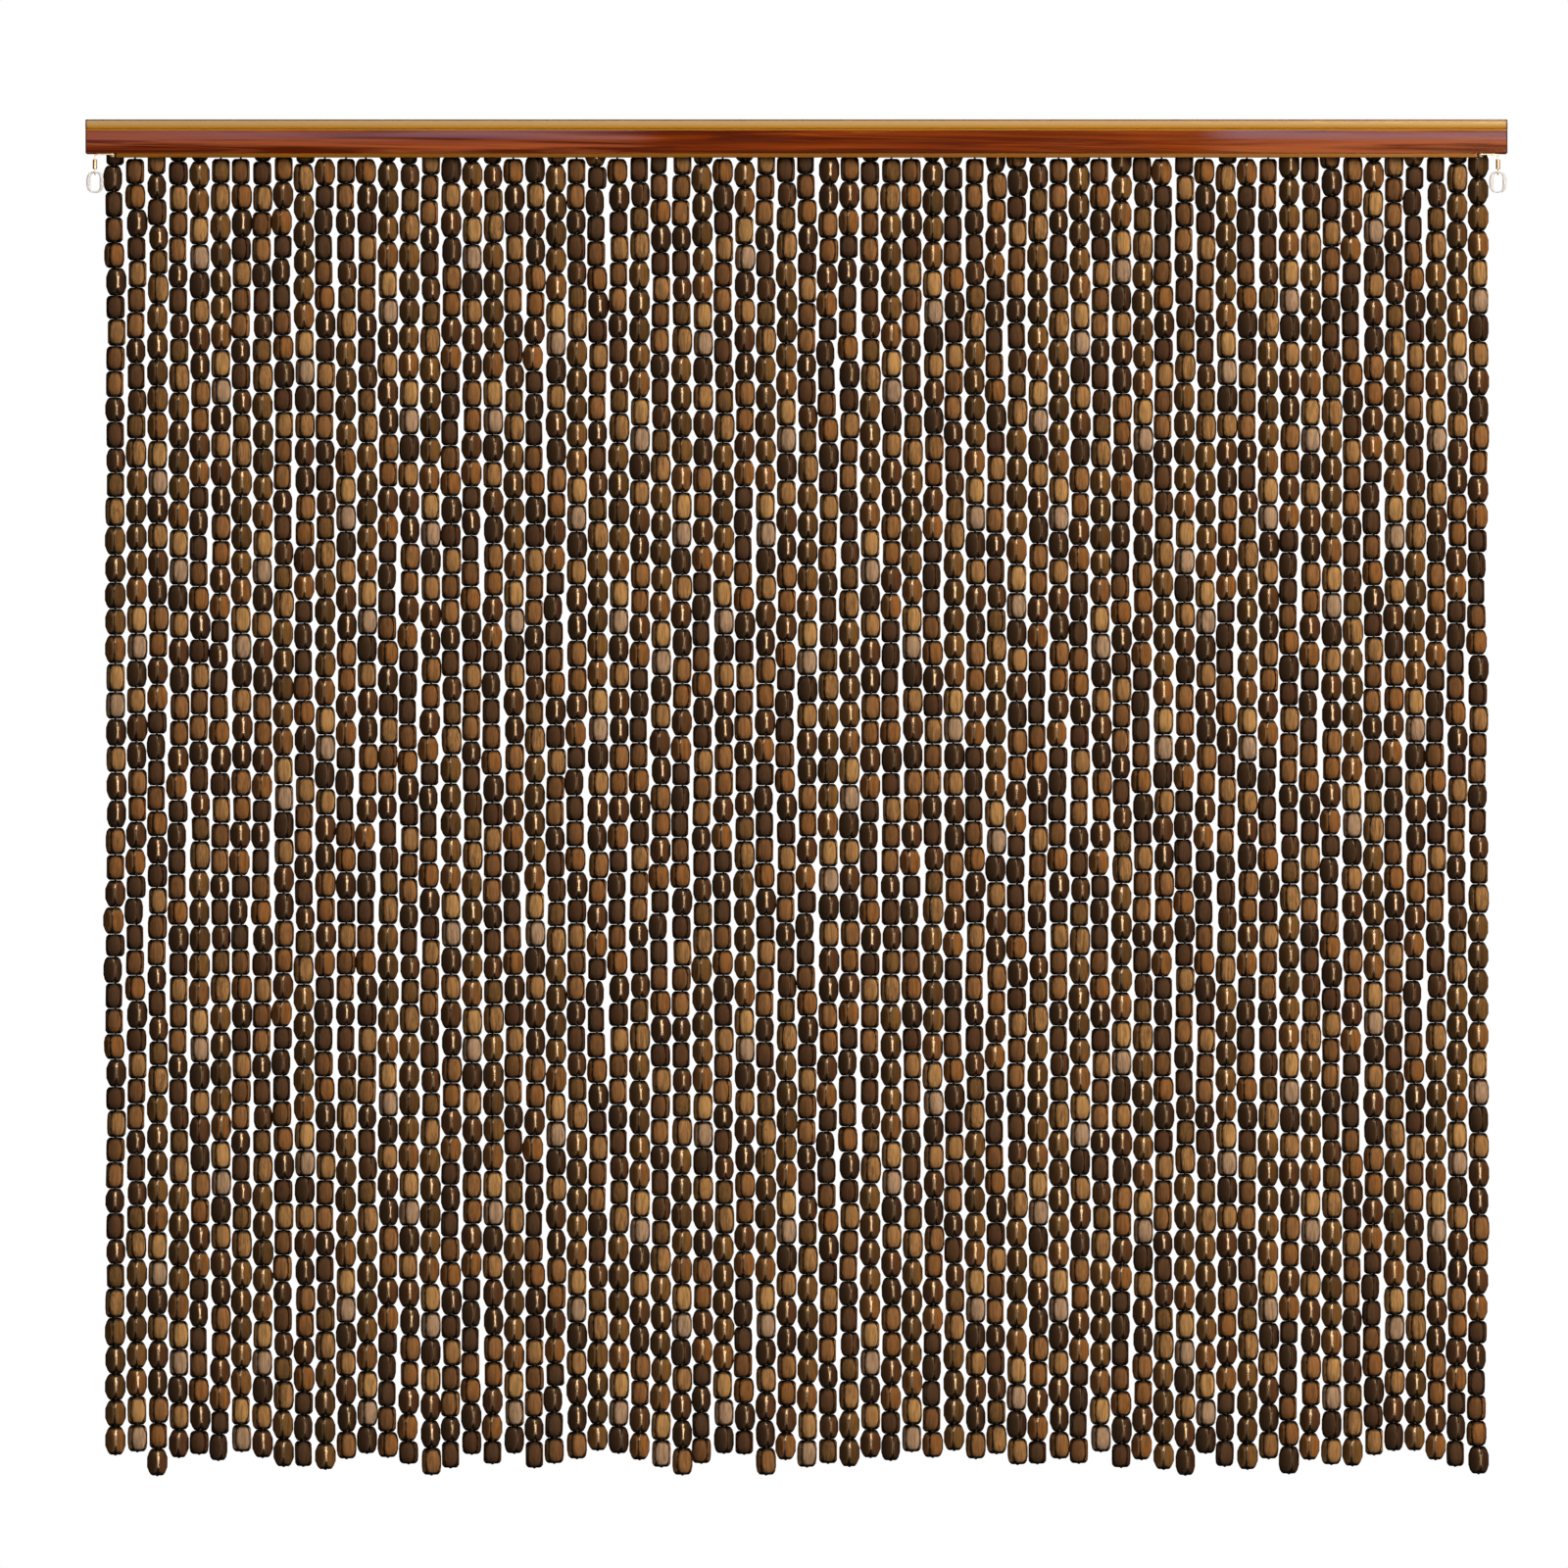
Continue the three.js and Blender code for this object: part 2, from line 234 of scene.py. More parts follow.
bead = {
    "heights": (-1.0, -0.93, -0.76, -0.36, 0.36, 0.76, 0.93, 1.0),   # parts of half the length
    "endRadius": 0.57,
    "shoulder": (3.0, 0.7),
    "flat": 0.84,         # distance of the four flats from the axis
    "flatTip": 13,        # half width of a flat where it runs out, in degrees
    "crown": (0.5, 1.27),  # how much of the barrel's rounding the flats and the ridges show
    "crownFrom": 0.7,     # sections narrower than this part of the widest keep all of it
    "endSlope": 2.0,      # slope of the shading round the two ends
    "largest": 13.3,
    "parting": 0.2,       # left between one bead and the next
    "turnSpread": 4.0,
    "leanSpread": 0.7,
    "sizeSpread": 0.01,
    "grainSpan": 400.0,   # mm of timber that the beads' grain is drawn from
    "seed": 11,
}

# wood tones: a flat's bare wood, and the stained skin between the flats
woods = {
    "ember": ("321909", "0c0602"),
    "cocoa": ("3e2210", "0d0804"),
    "chestnut": ("6a411e", "110a05"),
    "mahogany": ("42200c", "0d0703"),
    "russet": ("4c2a12", "0e0703"),
    "amber": ("7e4e22", "120a04"),
    "tan": ("966a3c", "170e06"),
    "bran": ("86582e", "140d06"),
    "umber": ("764a22", "140c05"),
    "olive": ("6a461e", "110b04"),
    "moss": ("4c3012", "0d0803"),
    "honey": ("a87c48", "1c1208"),
    "oat": ("a08064", "201710"),
}

beadFinish = {
    "facet": (0.66, 0.93),        # half width and half length of a flat's bare oval
    "ovalPower": 2.3,
    "facetEdge": (0.78, 1.08),    # where the oval fades from bare to stained
    "edgeUnevenness": 0.5,
    # painted shade: near black laid over both ends of each bead, where it meets the next bead
    "paintedEndShade": "050302",
    "endReach": (0.7, 0.88),
    "grainStretch": (1.0, 1.0, 0.13),
    "grainScale": 0.6,
    "grainRange": (0.35, 0.7),    # of the noise, over which the grain darkens
    "grainDepth": 0.5,
    "fineScale": 2.2,
    "fineRange": (0.5, 0.75),
    "fineDepth": 0.25,
    "figureStretch": (0.6, 0.6, 0.07),
    "veinWidth": 0.08,
    "veinDepth": 0.5,
    "stainThinness": (0.03, 0.1),
    "facetRoughness": (0.7, 0.82),
    "skinRoughness": (0.22, 0.29),
    "shine": (0.75, 0.28),        # specular level of the skin and of bare wood
    "tint": (1.0, 0.82, 0.62, 1.0),
    "relief": (0.06, 0.0004),     # strength and depth of the bump, in metres
}


def makeBeadWood():
    # oval = (lateral / half width)^p + (height / half length)^p stays under 1 on a flat's bare
    # wood, where lateral is the smaller of |x| and |y|; beyond it the skin is stained. The
    # figure is a set of dark veins where a slow noise passes through its middle value.
    f = Finish("polishedBeadWood")
    x, y, z = f.parts(f.attribute("beadPlace"))
    height = f.math("ABSOLUTE", z)
    lateral = f.math("MINIMUM", f.math("ABSOLUTE", x), f.math("ABSOLUTE", y))
    halfWidth, halfLength = beadFinish["facet"]
    power = beadFinish["ovalPower"]
    oval = f.math("ADD", f.math("POWER", f.math("DIVIDE", lateral, halfWidth), power),
                  f.math("POWER", f.math("DIVIDE", height, halfLength), power))
    face = f.attribute("faceTone", "Color")
    skin = f.attribute("skinTone", "Color")
    grainPlace = f.attribute("grainPlace")
    alongGrain = f.stretch(grainPlace, beadFinish["grainStretch"])
    broad = f.noise(alongGrain, beadFinish["grainScale"], 3.0, 0.55, 0.7)
    fine = f.noise(alongGrain, beadFinish["fineScale"], 4.0, 0.65, 0.3)
    wander = f.math("MULTIPLY", f.math("SUBTRACT", broad, 0.5), beadFinish["edgeUnevenness"])
    uneven = f.math("ADD", oval, wander)
    facet = f.ramp(uneven, *beadFinish["facetEdge"], 1.0, 0.0)
    darker = f.ramp(broad, *beadFinish["grainRange"], 0.0, beadFinish["grainDepth"])
    bare = f.mix(darker, face, skin)
    darker = f.ramp(fine, *beadFinish["fineRange"], 0.0, beadFinish["fineDepth"])
    bare = f.mix(darker, bare, skin)
    figurePlace = f.stretch(grainPlace, beadFinish["figureStretch"])
    slow = f.noise(figurePlace, 1.0, 2.0, 0.45, 0.8)
    veins = f.ramp(f.math("ABSOLUTE", f.math("SUBTRACT", slow, 0.5)), 0.0,
                   beadFinish["veinWidth"], beadFinish["veinDepth"], 0.0)
    bare = f.mix(f.math("MULTIPLY", veins, f.attribute("figure", "Fac")), bare, skin)
    stained = f.mix(f.ramp(fine, 0.3, 0.7, *beadFinish["stainThinness"]), skin, face)
    colour = f.mix(facet, stained, bare)
    # painted shade: the colour goes nearly black towards both ends, where one bead meets the next
    ends = f.ramp(height, *beadFinish["endReach"])
    colour = f.mix(ends, colour, linear(beadFinish["paintedEndShade"]))
    rough = f.add("Mix", {0: facet,
                          2: f.ramp(fine, 0.3, 0.8, *beadFinish["skinRoughness"]),
                          3: f.ramp(fine, 0.3, 0.8, *beadFinish["facetRoughness"])})
    relief = f.bump(f.math("SUBTRACT", fine, f.math("MULTIPLY", veins, 0.5)),
                    *beadFinish["relief"])
    shine = f.ramp(facet, 0.0, 1.0, *beadFinish["shine"])
    return f.done(Base_Color=colour, Roughness=rough, Normal=relief,
                  Specular_IOR_Level=shine, Specular_Tint=beadFinish["tint"])


def column(key):
    return np.array([entry[key] for entry in beadRun])


def barrel(height):
    # radius at a height: e + (1 - e) (1 - |height|^p)^q, as a part of the widest section's
    p, q = bead["shoulder"]
    e = bead["endRadius"]
    widest = np.abs(bead["heights"]).min()
    inside = np.clip(1 - np.abs(np.stack([height, 0 * height + widest])) ** p, 0, 1)
    radius = e + (1 - e) * inside ** q
    return radius[0] / radius[1]


def strandLayout():
    # foot of bead n = chart line + tucked part of the first bead - lengths of the beads down
    # to n; a strand ends before the first bead whose foot would pass the hem line
    lengths = column("length")
    rows = []
    entries = " ".join(stringing).split()
    for strand, entry in enumerate(entries):
        first = beadLetters.index(entry[0])
        kind = (first + np.arange(strands["mostBeads"])) % len(beadRun)
        foot = strands["chartLine"] + lengths[first] * int(entry[1]) / 10 \
            - np.cumsum(lengths[kind])
        x = (strand - (len(entries) - 1) / 2) * strands["pitch"] + column("shift")[kind]
        strandNumber = np.full(len(kind), strand)
        table = np.stack([strandNumber, kind, x, foot, foot + lengths[kind]], axis=-1)
        rows.append(table[foot >= strands["hemLine"]])
    strand, kind, x, foot, top = np.concatenate(rows).T
    return strand.astype(int), kind.astype(int), x, foot, top


def partNeighbours(strand, kind, x, foot, top):
    # two beads of neighbouring strands need half of both their widths, at the height where
    # that sum is greatest; each pair that stands closer is moved apart, half by each bead
    width = column("width")[kind]
    left, right = np.nonzero((strand[None] == strand[:, None] + 1)
                             & (foot[:, None] < top[None]) & (foot[None] < top[:, None]))
    low = np.maximum(foot[left], foot[right])
    high = np.minimum(top[left], top[right])
    height = low + (high - low) * np.linspace(*strands["compared"])[:, None]
    half = [barrel((2 * height - foot[i] - top[i]) / (top[i] - foot[i])) * width[i] / 2
            for i in (left, right)]
    needed = (half[0] + half[1]).max(axis=0) + strands["sideGap"]
    for _ in range(strands["rounds"]):
        short = np.clip(needed - (x[right] - x[left]), 0, None) * strands["roundShare"]
        x = x + np.bincount(right, short, len(x)) - np.bincount(left, short, len(x))
    return x


def makeBeads(name, kind, x, foot, top, material, rng):
    # A bead is a barrel with four flats. Its section at a height has eight points, at the two
    # edges of each flat, arccos(flat / radius) to either side of the flat's middle; all lie
    # on the barrel: (R r sin a, -R r cos a), with a counted from the turn.
    count = len(x)
    heights = np.array(bead["heights"])
    radii = barrel(heights)
    flatHalf = np.arccos(np.minimum(bead["flat"] / radii, 1.0))
    flatHalf = np.maximum(flatHalf, np.radians(bead["flatTip"]))
    middles = np.repeat(np.arange(4) * np.pi / 2, 2)
    angle = middles + np.tile(np.stack([-flatHalf, flatHalf], axis=-1), 4)
    levels, sides = angle.shape

    # the radius gives the bead its width once it is turned
    ridgeArc = 45 - np.degrees(np.arccos(bead["flat"]))
    away = np.radians(np.clip(45 - np.abs(column("turn")) - ridgeArc, 0, None))
    radius = (column("width") / 2 / np.cos(away))[kind]
    radius = radius * (1 + bead["sizeSpread"] * rng.normal(size=count))
    radius = np.minimum(radius, bead["largest"] / 2)
    half = (top - foot - bead["parting"]) / 2
    turn = column("turn")[kind] + bead["turnSpread"] * rng.normal(size=count)
    lean = np.radians(bead["leanSpread"]) * rng.normal(size=count)
    turn, radius, half, lean = (v[:, None, None] for v in (np.radians(turn), radius, half, lean))

    across = radius * radii[:, None] * np.sin(angle + turn)
    forward = radius * radii[:, None] * np.cos(angle + turn)
    up = half * heights[:, None] + 0 * across
    centre = ((foot + top) / 2)[:, None, None]
    points = np.stack([x[:, None, None] + across + up * lean, -strands["depth"] - forward,
                       centre + up], axis=-1)
    piece = makePiece(name, points, cappedFaces(levels, sides, count), material,
                      "strands", creaseAngle=None)

    # shading: the barrel's own normal, drawn towards the flat's where the flat is wide, more
    # so on the flats (even columns of faces) than on the ridges between them (odd columns)
    step = 0.01
    slope = (barrel(heights - step) - barrel(heights + step)) / (2 * step)
    slope[[0, -1]] = -bead["endSlope"], bead["endSlope"]
    rise = slope[:, None] * radius / half
    wide = np.clip((radii[:, None] - bead["crownFrom"]) / (1 - bead["crownFrom"]), 0, 1)
    kinds = []
    for crown in bead["crown"]:
        facing = angle + (1 - crown) * wide * (middles - angle) + turn
        normals = np.stack([np.sin(facing), -np.cos(facing), rise + 0 * facing], axis=-1)
        normals /= np.linalg.norm(normals, axis=-1, keepdims=True)
        kinds.append(normals.reshape(-1, 3))
    corner = np.empty(len(piece.data.loops), dtype=np.int32)
    piece.data.loops.foreach_get("vertex_index", corner)
    onRidge = np.ones(len(corner), dtype=bool)
    quads = count * (levels - 1) * sides
    onRidge[:quads * 4] = np.repeat(np.arange(quads) % 2 == 1, 4)
    normals = np.where(onRidge[:, None], kinds[1][corner], kinds[0][corner])
    piece.data.normals_split_custom_set(normals.tolist())

    local = np.stack([radii[:, None] * np.sin(angle), radii[:, None] * np.cos(angle),
                      heights[:, None] + 0 * angle], axis=-1)
    size = np.concatenate([radius, radius, half], axis=-1)[:, None]
    seeds = rng.uniform(0, bead["grainSpan"], size=(count, 1, 1, 3))
    corners = angle.size
    faceTones, skinTones = (np.array([linear(woods[entry["wood"]][i]) for entry in beadRun])
                            for i in (0, 1))
    setAttribute(piece.data, "beadPlace", np.tile(local.reshape(-1, 3), (count, 1)))
    setAttribute(piece.data, "grainPlace", (local * size + seeds).reshape(-1, 3))
    setAttribute(piece.data, "faceTone", np.repeat(faceTones[kind], corners, axis=0))
    setAttribute(piece.data, "skinTone", np.repeat(skinTones[kind], corners, axis=0))
    setAttribute(piece.data, "figure", np.repeat(column("figure")[kind], corners))


strand, kind, strungAt, foot, top = strandLayout()
x = partNeighbours(strand, kind, strungAt, foot, top)
print("largest sideways move between strands:", round(float(np.abs(x - strungAt).max()), 2))
beadWood = makeBeadWood()
strandsInRow = len(stringing[0].split())
for row in range(len(stringing)):
    own = strand // strandsInRow == row
    makeBeads(f"beads_{row + 1}", kind[own], x[own], foot[own], top[own], beadWood,
              np.random.default_rng(bead["seed"] + row))
print("beads strung:", len(x))

strings = {
    "width": 1.3,
    "sides": 6,
    "knot": 2.6,
    "knotDrop": 0.6,      # how far the knot stands out of the last bead
    "knotFoot": 0.25,     # radius of its lowest ring
    "colour": "2a1c12",
    "twistColour": "150d07",
    "twistScale": 300.0,
    "stripFrom": 2.7,     # the strip in the groove: depths, heights and length
    "stripTo": 15.5,
    "stripLow": 3.0,
    "stripHigh": 6.2,
    "stripLength": 876.1,
    "stripEase": 0.5,
    "stripColour": "4a3826",
    "ribColour": "2c2015",
    "ribScale": 160.0,
}


def makeStringFinish():
    f = Finish("waxedString")
    twist = f.add("TexWave", {"Vector": f.place(), "Scale": strings["twistScale"],
                              "Distortion": 1.0}, bands_direction="DIAGONAL")
    colour = f.mix(twist, linear(strings["colour"]), linear(strings["twistColour"]))
    return f.done(Base_Color=colour, Roughness=0.7, Normal=f.bump(twist, 0.3, 0.0002))


def makeWebbing():
    f = Finish("webbingStrip")
    ribs = f.add("TexWave", {"Vector": f.place(), "Scale": strings["ribScale"], "Distortion": 0.4},
                 bands_direction="X")
    colour = f.mix(ribs, linear(strings["stripColour"]), linear(strings["ribColour"]))
    return f.done(Base_Color=colour, Roughness=0.85, Normal=f.bump(ribs, 0.4, 0.0003))


def makeStrings():
    # each string is turned about its own line: a knot of radius (knot / 2) cos t at height
    # (knot / 2) sin t under the last bead, then one width up through the beads to the strip
    first = np.unique(strand, return_index=True)[1]
    last = np.append(first[1:], len(strand)) - 1
    t = np.radians([-80, -45, 0, 45, 80])
    radius = np.append(strings["knot"] / 2 * np.cos(t), strings["width"] / 2)
    least = [strings["knotFoot"]] + 5 * [strings["width"] / 2]
    radius = np.maximum(radius, least)
    knotHeight = foot[last] - strings["knotDrop"] + strings["knot"] / 2
    low = knotHeight[:, None] + strings["knot"] / 2 * np.sin(t)
    z = np.concatenate([low, np.full((len(last), 1), strings["stripLow"] + 1)], axis=1)
    lineX = np.concatenate([np.repeat(x[last][:, None], len(t), axis=1), x[first][:, None]],
                           axis=1)
    a = np.linspace(0, 2 * np.pi, strings["sides"], endpoint=False)
    points = np.stack([lineX[:, :, None] + radius[:, None] * np.cos(a),
                       -strands["depth"] + radius[:, None] * np.sin(a) + 0 * z[:, :, None],
                       z[:, :, None] + 0 * a], axis=-1)
    faces = cappedFaces(len(radius), strings["sides"], len(last))
    makePiece("strings", points, faces, makeStringFinish(), "strands", 80)


def makeBar(name, low, high, ease, material, replaced):
    # a straight bar along x: its section is a rectangle with quarter rounds of radius ease,
    # and its two ends are drawn in by most of that radius
    low, high = np.array(low), np.array(high)
    halfY, halfZ = (high[1:] - low[1:]) / 2
    turn = np.radians([0, 30, 60, 90])
    atEnd = 0.7
    stations = ((low[0], atEnd), (low[0] + ease, 0), (high[0] - ease, 0), (high[0], atEnd))
    rows = []
    for station, drawn in stations:
        reach = ease * (1 - drawn)
        for signY, signZ, start in ((1, 1, 0), (-1, 1, 90), (-1, -1, 180), (1, -1, 270)):
            a = turn + np.radians(start)
            rows.append(np.stack([0 * a + station,
                                  signY * (halfY - ease) + reach * np.cos(a),
                                  signZ * (halfZ - ease) + reach * np.sin(a)], axis=-1))
    points = np.concatenate(rows)
    points[:, 1:] += (low[1:] + high[1:]) / 2
    makePiece(name, points, cappedFaces(4, 16), material, replaced)


makeStrings()
makeBar("groove_strip", (-strings["stripLength"] / 2, -strings["stripTo"], strings["stripLow"]),
        (strings["stripLength"] / 2, -strings["stripFrom"], strings["stripHigh"]),
        strings["stripEase"], makeWebbing(), "strands")
print("strings and groove strip made")

rail = {
    "length": 900.0,
    "height": 21.4,
    "faceDepth": 19.2,
    "grooveFrom": 2.4,
    "grooveTo": 15.8,
    "grooveTop": 6.5,
    "grooveLength": 884.0,
    "mouldingTop": 9.7,
    "mouldingBottom": 4.5,
    "mouldingBulge": 1.2,
    "ease": 0.5,            # rounding of the long edges
    "endEase": 0.3,
}

lip = {"length": 861.5, "top": -10.75, "bottom": -13.4, "back": 15.8, "front": 19.2, "ease": 0.35}

railFinish = {
    "dark": "561804",
    "mid": "843204",
    "light": "aa581c",
    "rose": "9c4c2a",
    # painted sheen: a purple-grey reflection laid into the colour of the upper face along the
    # rail's outer lengths
    "paintedSheen": "86606c",
    # painted highlight: the moulding's upper half is pale gold for the light on its rounded front;
    # the ochre of its lower half is painted light against the shade on its downward-facing side
    "highlightGold": "bb9966",
    "paintedLightOchre": "c88a2a",
    "edge": "4a260f",
    "end": "3a1a0c",
    # where the colours change, in metres: each pair is the start and the end of a fade
    "middleBoard": (0.085, 0.165, 0.2),   # centre of the redder length, and its half lengths
    "paintedSheenHeights": (-0.005, 0.002),
    "highlightGoldHeights": (0.0036, 0.004),
    "paintedLightOchreHeights": (0.0074, 0.0058),
    "edgeHeights": (0.0098, 0.0103),
    "endLengths": (0.4488, 0.4497),
    "frontDepths": (-0.0186, -0.0191),
    "grainRise": 0.012,           # how much the grain climbs along the rail
    "grainScale": (7.0, 90.0, 260.0),
    "fineScale": (30.0, 300.0, 1100.0),
    "roughness": (0.11, 0.16),
    "tint": (1.0, 0.75, 0.5, 1.0),
}


def makeRailWood():
    f = Finish("railRosewood")
    x, y, z = f.parts(f.place())
    lift = f.math("ADD", z, f.math("MULTIPLY", x, railFinish["grainRise"]))
    grain = f.scaled((x, y, lift), railFinish["grainScale"])
    fineGrain = f.scaled((x, y, lift), railFinish["fineScale"])
    broad = f.noise(grain, 1.0, 4.0, 0.5, 0.6)
    fine = f.noise(fineGrain, 1.0, 3.0, 0.6, 0.2)
    middle, start, end = railFinish["middleBoard"]
    outer = f.ramp(f.math("ABSOLUTE", f.math("SUBTRACT", x, middle)), start, end)
    light = f.mix(outer, linear(railFinish["mid"]), linear(railFinish["rose"]))
    wood = f.mix(f.ramp(broad, 0.36, 0.6), linear(railFinish["dark"]), light)
    wood = f.mix(f.ramp(broad, 0.56, 0.72, 0.0, 0.8), wood, linear(railFinish["light"]))
    wood = f.mix(f.ramp(fine, 0.5, 0.8, 0.0, 0.35), wood, linear(railFinish["dark"]))
    # painted sheen: cloudy purple-grey patches over the upper face, outside the middle length,
    # stand in for a reflection
    cloud = f.noise(grain, 0.45, 2.0, 0.5, 0.3)
    paintedSheen = f.math("MULTIPLY", f.math("MULTIPLY", outer, f.ramp(cloud, 0.4, 0.6)),
                   f.ramp(z, *railFinish["paintedSheenHeights"], 0.0, 0.85))
    wood = f.mix(paintedSheen, wood, linear(railFinish["paintedSheen"]))
    # painted highlight on the moulding, at the front only: pale gold over its upper half, fading
    # to ochre below, where the colour is painted light against the shade of the downward-facing
    # side
    highlightGold = f.mix(f.ramp(z, *railFinish["paintedLightOchreHeights"]), linear(railFinish["highlightGold"]),
                 linear(railFinish["paintedLightOchre"]))
    highlightGold = f.mix(f.ramp(fine, 0.45, 0.8, 0.0, 0.2), highlightGold, linear(railFinish["paintedLightOchre"]))
    front = f.ramp(y, *railFinish["frontDepths"])
    colour = f.mix(f.math("MULTIPLY", f.ramp(z, *railFinish["highlightGoldHeights"]), front), wood, highlightGold)
    colour = f.mix(f.ramp(z, *railFinish["edgeHeights"]), colour, linear(railFinish["edge"]))
    colour = f.mix(f.ramp(f.math("ABSOLUTE", x), *railFinish["endLengths"]), colour,
                   linear(railFinish["end"]))
    rough = f.ramp(fine, 0.3, 0.8, *railFinish["roughness"])
    return f.done(Base_Color=colour, Roughness=rough, Normal=f.bump(fine, 0.08, 0.0003),
                  Specular_Tint=railFinish["tint"])


lipFinish = {
    "light": "8a5410",
    "dark": "76460c",
    "grainScale": (18.0, 300.0, 600.0),
    "roughness": (0.14, 0.2),
}


def makeLipWood():
    f = Finish("lipAmberWood")
    grain = f.scaled(f.parts(f.place()), lipFinish["grainScale"])
    streaks = f.noise(grain, 1.0, 3.0, 0.6, 0.3)
    colour = f.mix(f.ramp(streaks, 0.35, 0.7), linear(lipFinish["light"]),
                   linear(lipFinish["dark"]))
    rough = f.ramp(streaks, 0.3, 0.7, *lipFinish["roughness"])
    return f.done(Base_Color=colour, Roughness=rough, Normal=f.bump(streaks, 0.1, 0.0003),
                  Specular_Tint=railFinish["tint"])


def railSection(grooved):
    # (depth, height) round the rail: up the face, over the half-elliptic moulding, along the
    # top, down the back and in and out of the groove, whose corners lie in the underside
    # where the rail is solid
    top, bottom = rail["height"] / 2, -rail["height"] / 2
    face, ease = rail["faceDepth"], rail["ease"]
    t = np.radians(np.linspace(-90, 90, 15))
    middle = (rail["mouldingTop"] + rail["mouldingBottom"]) / 2
    half = (rail["mouldingTop"] - rail["mouldingBottom"]) / 2
    moulding = np.stack([face + rail["mouldingBulge"] * np.cos(t), middle + half * np.sin(t)],
                        axis=-1)
    soft = 0.3 * ease
    before = [(face - ease, bottom), (face - soft, bottom + soft), (face, bottom + ease)]
    after = [(face, top - ease), (face - soft, top - soft), (face - ease, top),
             (ease, top), (soft, top - soft), (0, top - ease),
             (0, bottom + ease), (soft, bottom + soft), (ease, bottom)]
    ceiling = rail["grooveTop"] if grooved else bottom
    groove = [(rail["grooveFrom"], bottom), (rail["grooveFrom"], ceiling),
              (rail["grooveTo"], ceiling), (rail["grooveTo"], bottom)]
    return np.concatenate([before, moulding, after, groove])


def makeRail():
    # the section is carried along x from right to left and drawn in a little at both ends
    solid, grooved = railSection(False), railSection(True)
    middle = np.array([rail["faceDepth"] / 2, 0.0])
    drawn = middle + (solid - middle) * (1 - rail["endEase"] * 2 / rail["height"])
    end, groove = rail["length"] / 2, rail["grooveLength"] / 2
    stations = [(end, drawn), (end - rail["endEase"], solid), (groove, solid),
                (groove, grooved), (-groove, grooved), (-groove, solid),
                (rail["endEase"] - end, solid), (-end, drawn)]
    rows = [np.stack([np.full(len(s), at), -s[:, 0], s[:, 1]], axis=-1) for at, s in stations]
    faces = cappedFaces(len(rows), len(solid))
    makePiece("fine_rail", np.concatenate(rows), faces, makeRailWood(), "rail")


makeRail()
makeBar("fine_lip", (-lip["length"] / 2, -lip["front"], lip["bottom"]),
        (lip["length"] / 2, -lip["back"], lip["top"]), lip["ease"], makeLipWood(),
        "lip_batten")
print("rail and lip made")

hanger = {
    "tackX": 433.0,
    "tackDepth": 17.5,      # forward of the rail's back
    "tackShank": 1.0,
    "tackHead": 3.0,
    # the tack's section: part of the head's radius, and mm below the head's flat side
    "tackDome": ((0.5, 1.1), (0.8, 0.8), (1.0, 0.35), (1.0, 0.1)),
    "tackDrop": 1.2,
    "tackReach": (7.5, 8.0),    # up into the rail: the end of the shank, and its point
    "clearance": 0.3,
    "wire": 0.8,
    "wireHeight": -11.4,
    "eye": 1.25,
    "dropX": 444.0,
    "bend": 1.2,
    "hook": 1.3,
    "wound": 275,           # degrees that the eye and the hook are wound
    "hookHeight": -22.8,
    "sleeve": 2.8,
    "sleeveTop": -14.6,
    "sleeveBottom": -20.8,
    "ring": (11.1, 13.6),
    "ringTop": -22.2,
    "ringBar": (0.6, 1.35),  # half thickness at the top and at the sides
    "ringSquareness": 2.9,
    "ringPoints": (56, 14),     # along the ring and round its bar
    "brass": ("efe2c6", "c8b28c", 0.3),
    "copper": ("d0b49a", "a4866c", 0.35),
    "plastic": ("e6e0da", "cfc8c2", 0.5),
}


def makeMetal(name, light, dark, roughness):
    f = Finish(name)
    wear = f.noise(f.place(), 900.0, 4.0, 0.6, 0.4)
    colour = f.mix(f.ramp(wear, 0.35, 0.7), linear(light), linear(dark))
    return f.done(Base_Color=colour, Metallic=0.5, Normal=f.bump(wear, 0.08, 0.0001),
                  Roughness=f.ramp(wear, 0.3, 0.7, roughness, roughness + 0.15))


def makeClearPlastic():
    f = Finish("clearRingPlastic")
    haze = f.noise(f.place(), 500.0, 3.0, 0.5, 0.2)
    light, dark, opacity = hanger["plastic"]
    colour = f.mix(f.ramp(haze, 0.35, 0.7), linear(light), linear(dark))
    return f.done(Base_Color=colour, Roughness=f.ramp(haze, 0.3, 0.7, 0.08, 0.2),
                  Alpha=opacity, Normal=f.bump(haze, 0.05, 0.0002))


def wireRoute(side):
    # from the eye round the tack, along under the rail, a quarter turn down at the rail's
    # end, and the hook: the arcs are centre + radius (cos a, sin a)
    a = np.radians(np.linspace(hanger["wound"], 0, 30))
    bend = np.radians(np.linspace(0, 90, 8))
    lineY = -hanger["tackDepth"] - hanger["eye"]
    eye = np.stack([hanger["tackX"] - hanger["eye"] * np.sin(a),
                    -hanger["tackDepth"] - hanger["eye"] * np.cos(a),
                    0 * a + hanger["wireHeight"]], axis=-1)
    turn = np.stack([hanger["dropX"] - hanger["bend"] * (1 - np.sin(bend)), 0 * bend + lineY,
                     hanger["wireHeight"] - hanger["bend"] * (1 - np.cos(bend))], axis=-1)
    a = a[::-1]
    hook = np.stack([0 * a + hanger["dropX"], lineY + hanger["hook"] * (1 - np.cos(a)),
                     hanger["hookHeight"] - hanger["hook"] * np.sin(a)], axis=-1)
    return np.concatenate([eye, turn, hook]) * np.array([side, 1, 1])


